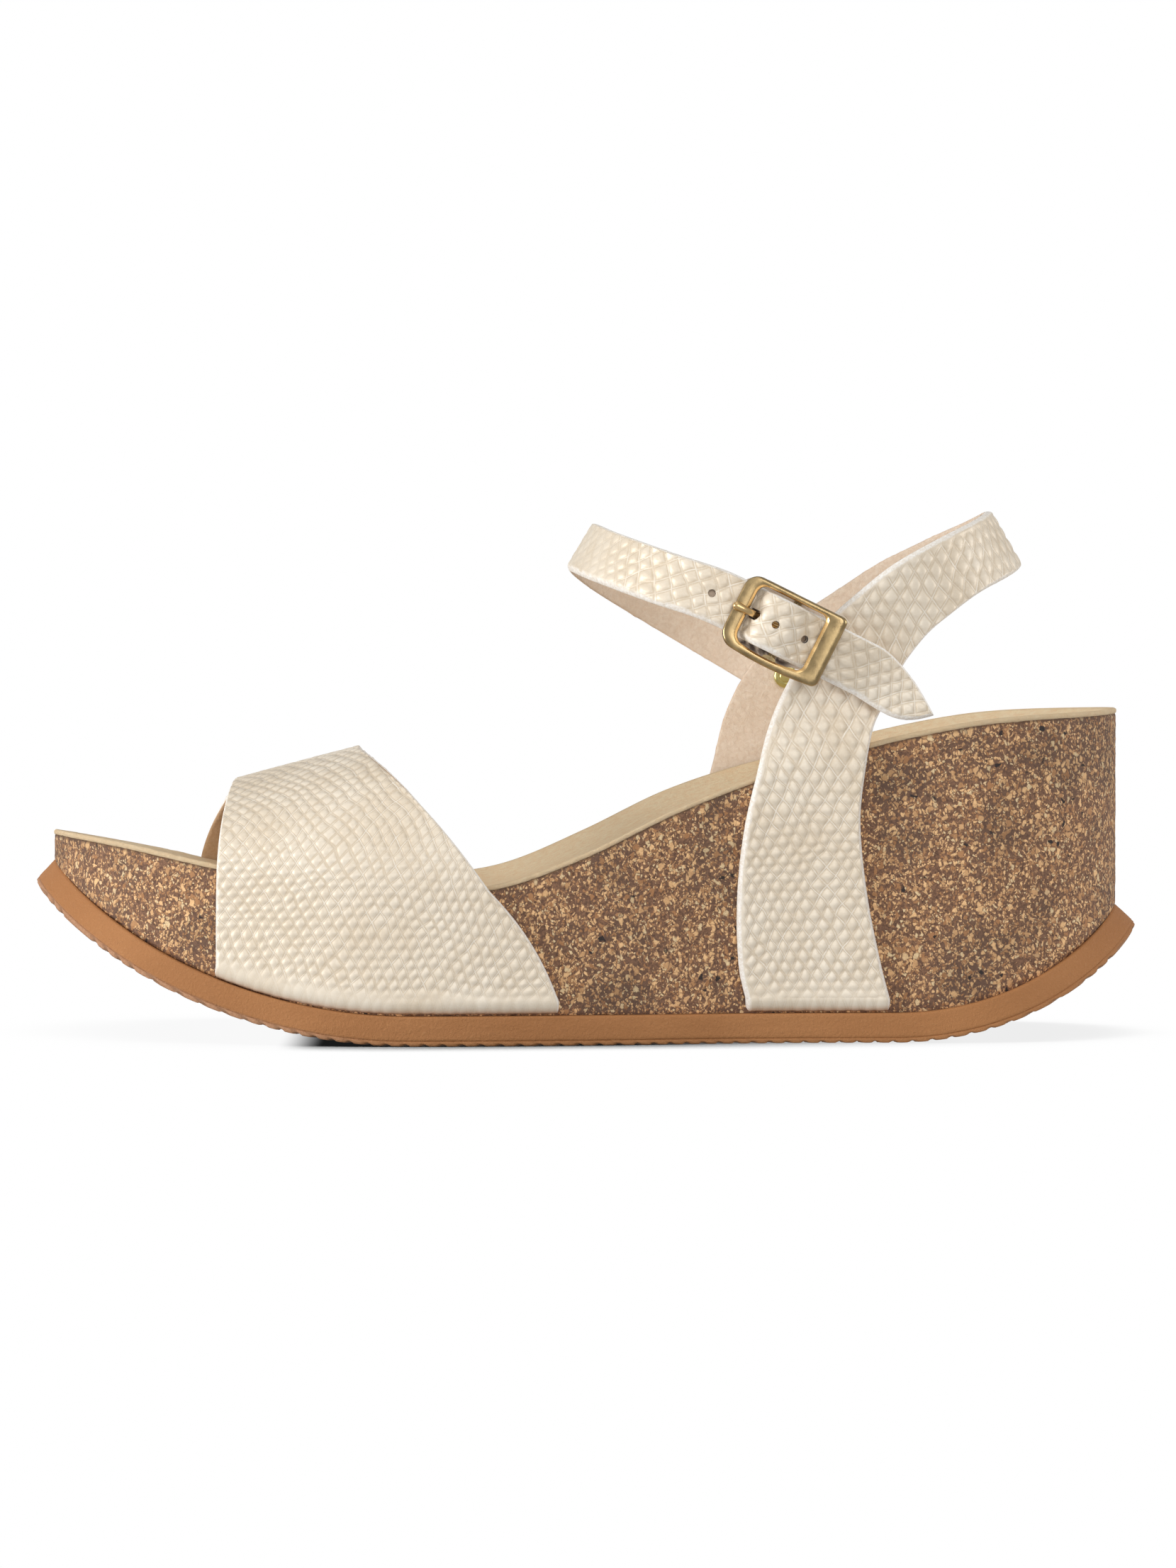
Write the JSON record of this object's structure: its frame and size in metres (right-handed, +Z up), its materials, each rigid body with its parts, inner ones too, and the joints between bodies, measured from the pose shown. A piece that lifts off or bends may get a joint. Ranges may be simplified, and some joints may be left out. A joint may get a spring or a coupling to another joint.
{
  "type": "wedge sandal",
  "caption": "Left wedge sandal: cork platform on a rocker outsole, embossed leather vamp and heel strap, and an ankle strap closed by a brass buckle.",
  "frame": {"origin": "on the ground plane, on the flat of the tread under the shank, on the shoe's centre line", "axes": "+X towards the heel, -Y towards the lateral (buckle) side, +Z up"},
  "size_m": [0.2603, 0.095, 0.1234],
  "materials": {
    "outsole_rubber": "matt foamed rubber, fine pebble",
    "cork": "pressed dark cork granules, matt",
    "suede": "napped suede",
    "leather": "pearl lizard emboss, satin",
    "felt": "brushed felt",
    "brass": "antique, brushed"
  },
  "bodies": {
    "sandal": {"outsole": "outsole_rubber", "cork_wedge": "cork", "footbed_cover": "suede", "vamp_leather": "leather", "vamp_lining": "felt", "heel_strap_leather": "leather", "heel_strap_lining": "felt", "lateral_rivet_post": "brass", "lateral_rivet_cap": "brass", "medial_rivet_post": "brass", "medial_rivet_cap": "brass"},
    "ankle_strap": {"ankle_strap_leather": "leather", "ankle_strap_lining": "felt", "buckle_tab": "leather", "buckle_guard": "leather"},
    "buckle": {"buckle_frame": "brass"},
    "prong": {"buckle_prong": "brass"}
  },
  "joints": [
    {"name": "ankle_strap_swing", "type": "hinge", "parent": "sandal", "child": "ankle_strap", "pos_m": [0.05639, -0.0335, 0.09017], "axis": [0.1149, -0.9883, 0.0999], "range_deg": [-10, 22]},
    {"name": "buckle_rock", "type": "hinge", "parent": "ankle_strap", "child": "buckle", "pos_m": [0.0461, -0.039, 0.0953], "axis": [0.4462, 0, 0.8949], "range_deg": [-1.5, 1.5]},
    {"name": "prong_lift", "type": "hinge", "parent": "buckle", "child": "prong", "pos_m": [0.0461, -0.039, 0.0953], "axis": [0.4462, 0, 0.8949], "range_deg": [0, 2.5]}
  ]
}
